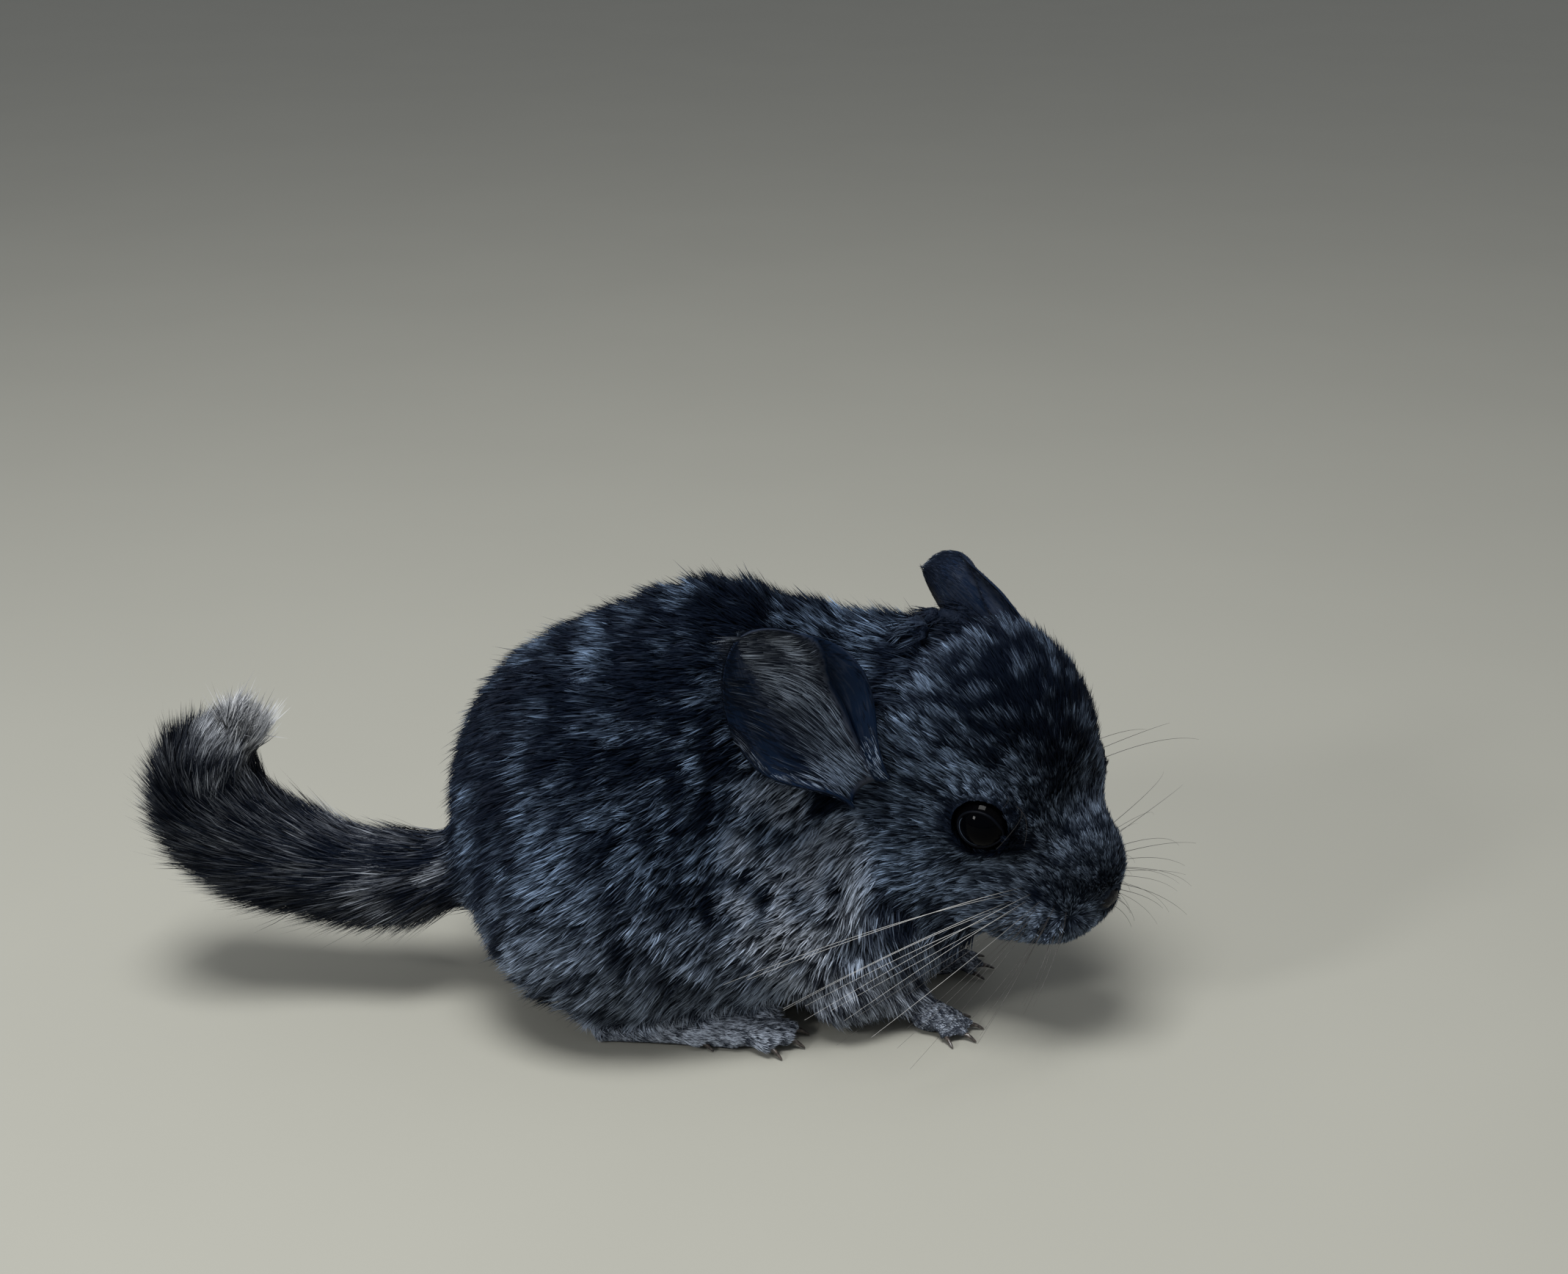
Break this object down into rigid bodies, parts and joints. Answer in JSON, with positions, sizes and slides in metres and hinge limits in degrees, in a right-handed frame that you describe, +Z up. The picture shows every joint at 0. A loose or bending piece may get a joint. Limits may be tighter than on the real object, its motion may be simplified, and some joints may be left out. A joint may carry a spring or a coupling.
{
  "type": "chinchilla model",
  "caption": "Life-size young grey chinchilla crouched on all fours, head turned to its right, ears laid back, brush tail curled up behind.",
  "frame": {"origin": "middle of the bounding box, whiskers and tail included, at the level of the soles", "axes": "+X the way the body faces, +Y its left side, +Z up"},
  "size_m": [0.2346, 0.1098, 0.0932],
  "materials": {
    "coat": "soft dense fur, blue-grey mottled with near black",
    "face_coat": "short dense fur, finer and more even grey",
    "tail_coat": "long coarse hair, black with pale tips",
    "ear": "thin dark skin with fine short down",
    "nose": "bare dark skin, slightly moist",
    "paw": "bare purple-grey skin with pale short hair",
    "claw": "dark horn",
    "eye": "wet black"
  },
  "bodies": {
    "root": {"head": "face_coat", "lower_jaw": "face_coat", "nose": "nose", "eye_left": "eye", "ear_left": "ear", "whisker_pad_left": "face_coat", "eye_right": "eye", "ear_right": "ear", "whisker_pad_right": "face_coat", "torso": "coat", "neck": "coat", "haunch_left": "coat", "foreleg_left": "coat", "forefoot_left": "paw", "hindfoot_left": "paw", "fore_claw_left_1": "claw", "fore_claw_left_2": "claw", "fore_claw_left_3": "claw", "fore_claw_left_4": "claw", "hind_claw_left_1": "claw", "hind_claw_left_2": "claw", "hind_claw_left_3": "claw", "hind_claw_left_4": "claw", "haunch_right": "coat", "foreleg_right": "coat", "forefoot_right": "paw", "hindfoot_right": "paw", "fore_claw_right_1": "claw", "fore_claw_right_2": "claw", "fore_claw_right_3": "claw", "fore_claw_right_4": "claw", "hind_claw_right_1": "claw", "hind_claw_right_2": "claw", "hind_claw_right_3": "claw", "hind_claw_right_4": "claw", "tail_base": "tail_coat", "tail_middle": "tail_coat", "tail_tip": "tail_coat"}
  },
  "joints": []
}
